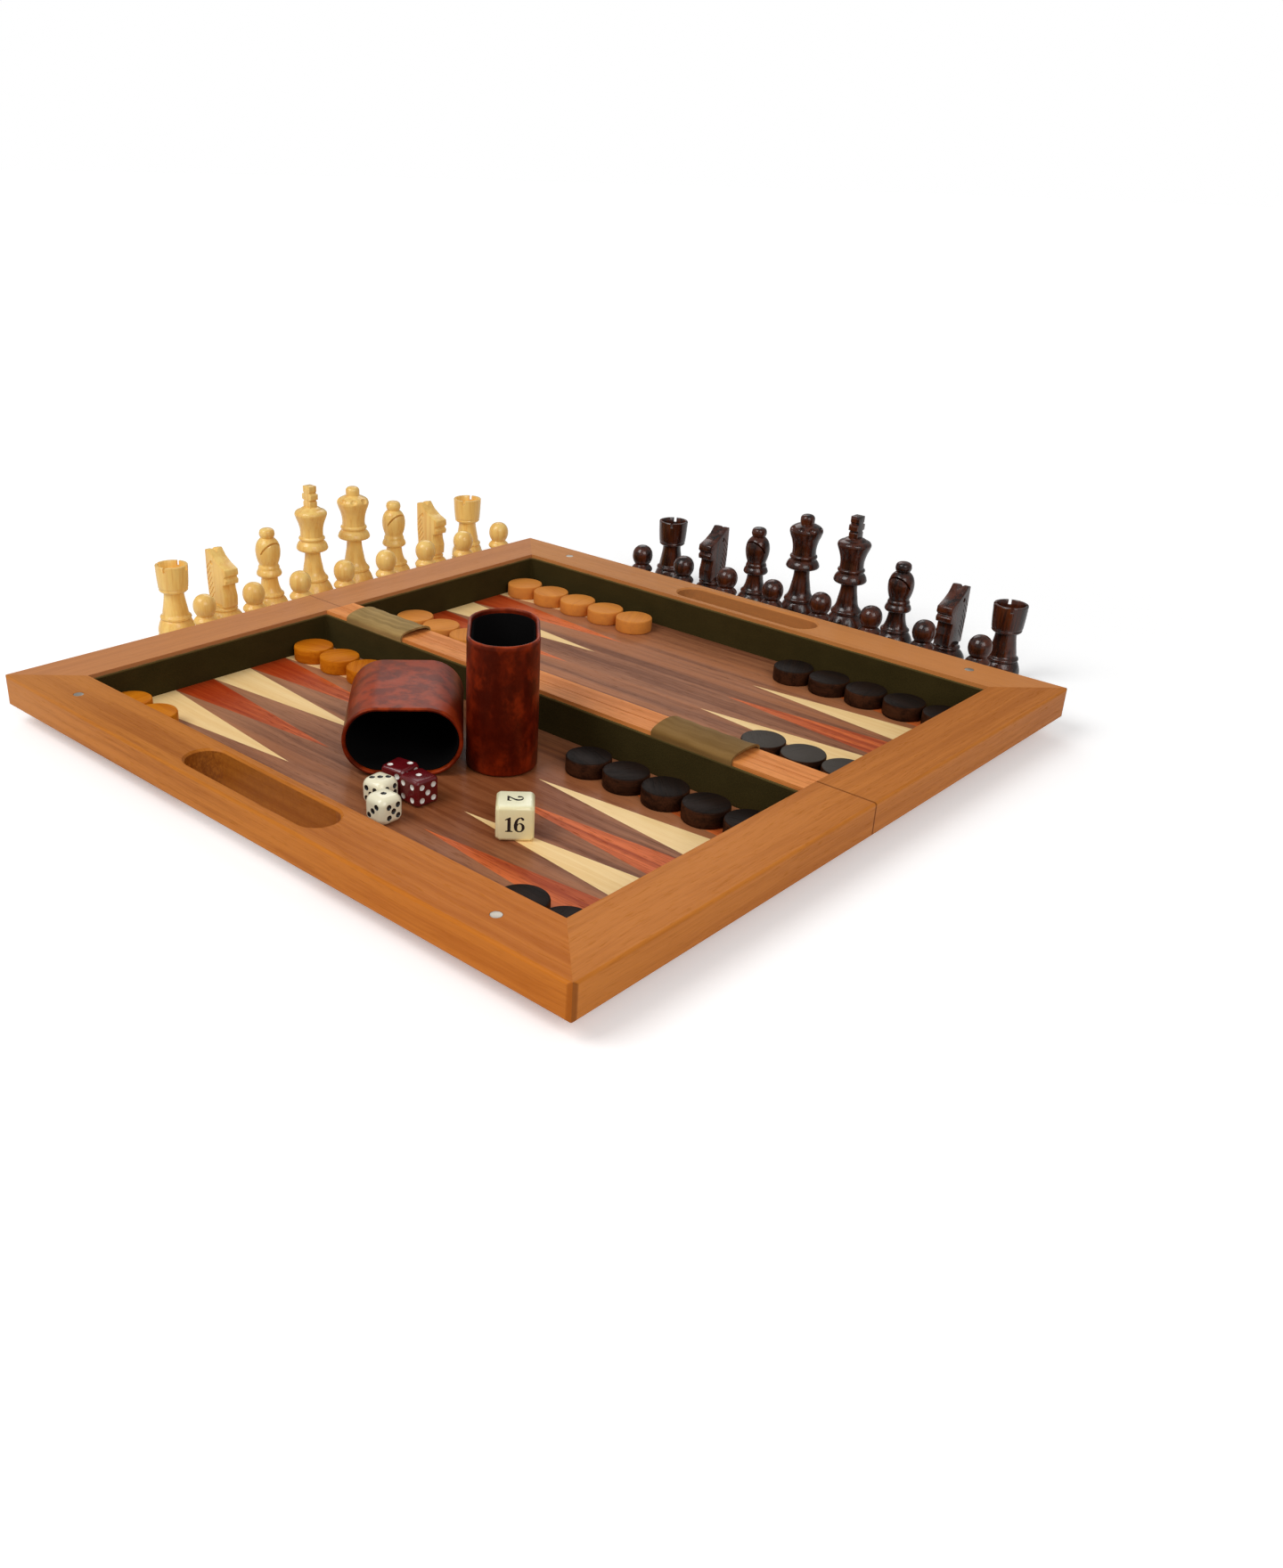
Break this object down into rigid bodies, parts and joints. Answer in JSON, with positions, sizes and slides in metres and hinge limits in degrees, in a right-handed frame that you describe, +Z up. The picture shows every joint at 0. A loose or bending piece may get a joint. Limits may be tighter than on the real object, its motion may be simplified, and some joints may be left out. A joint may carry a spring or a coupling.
{
  "type": "games compendium box",
  "caption": "Folding wooden games box open flat: backgammon trays inside, chess squares outside, with chessmen, checkers, dice and leather cups.",
  "frame": {"origin": "middle of the hinge line between the two trays, on the plane of the chess squares that the open box stands on", "axes": "+X along the hinge, +Y from the near tray to the far tray, +Z up out of the open trays"},
  "size_m": [0.4425, 0.4425, 0.075],
  "materials": {
    "frame_wood": "satin lacquer, honey brown",
    "core_board": "plain board, hidden",
    "walnut": "satin lacquer, dark brown",
    "maple": "satin lacquer, pale",
    "padauk": "satin lacquer, red brown",
    "felt": "dark olive felt",
    "suede": "olive suede",
    "brass": "satin",
    "steel": "nickel plated magnet",
    "boxwood": "lacquered, natural",
    "ebonised": "lacquered, near black",
    "leather": "glossy, burgundy",
    "cup_felt": "black felt",
    "ivory_plastic": "glossy ivory",
    "red_plastic": "glossy dark red"
  },
  "bodies": {
    "near_tray": {"near_handle_rail": "frame_wood", "near_left_rail": "frame_wood", "near_right_rail": "frame_wood", "near_hinge_rail": "frame_wood", "near_board_core": "core_board", "near_board_border": "walnut", "near_light_squares": "maple", "near_dark_squares": "walnut", "near_floor_veneer": "walnut", "near_cream_points": "maple", "near_red_points": "padauk", "near_felt_lining": "felt", "near_magnets": "steel", "near_hinge_leaves": "brass", "near_hinge_screws": "brass", "near_natural_checkers": "boxwood", "near_dark_checkers": "ebonised", "hinge_pins": "brass", "left_hinge_strap": "suede", "right_hinge_strap": "suede", "ivory_dice": "ivory_plastic", "red_dice": "red_plastic", "doubling_cube": "ivory_plastic", "lying_cup_shell": "leather", "lying_cup_lining": "cup_felt", "natural_pawns": "boxwood", "natural_rooks": "boxwood", "natural_knights": "boxwood", "natural_bishops": "boxwood", "natural_queen": "boxwood", "natural_king": "boxwood", "dark_pawns": "ebonised", "dark_rooks": "ebonised", "dark_knights": "ebonised", "dark_bishops": "ebonised", "dark_queen": "ebonised", "dark_king": "ebonised"},
    "far_tray": {"far_handle_rail": "frame_wood", "far_left_rail": "frame_wood", "far_right_rail": "frame_wood", "far_hinge_rail": "frame_wood", "far_board_core": "core_board", "far_board_border": "walnut", "far_light_squares": "maple", "far_dark_squares": "walnut", "far_floor_veneer": "walnut", "far_cream_points": "maple", "far_red_points": "padauk", "far_felt_lining": "felt", "far_magnets": "steel", "far_hinge_leaves": "brass", "far_hinge_screws": "brass", "far_natural_checkers": "boxwood", "far_dark_checkers": "ebonised"},
    "standing_cup": {"standing_cup_shell": "leather", "standing_cup_lining": "cup_felt"}
  },
  "joints": [
    {"name": "fold", "type": "hinge", "parent": "near_tray", "child": "far_tray", "pos_m": [0, 0, 0.02555], "axis": [1, 0, 0], "range_deg": [0, 180], "deforming": ["left_hinge_strap", "right_hinge_strap"]},
    {"name": "cup_lift_out", "type": "hinge", "parent": "near_tray", "child": "standing_cup", "pos_m": [0.0155, -0.143, 0.0348], "axis": [1, 0, 0], "range_deg": [0, 180]}
  ],
  "couplings": [
    {"joint": "cup_lift_out", "follows": "fold", "ratio": 1}
  ]
}
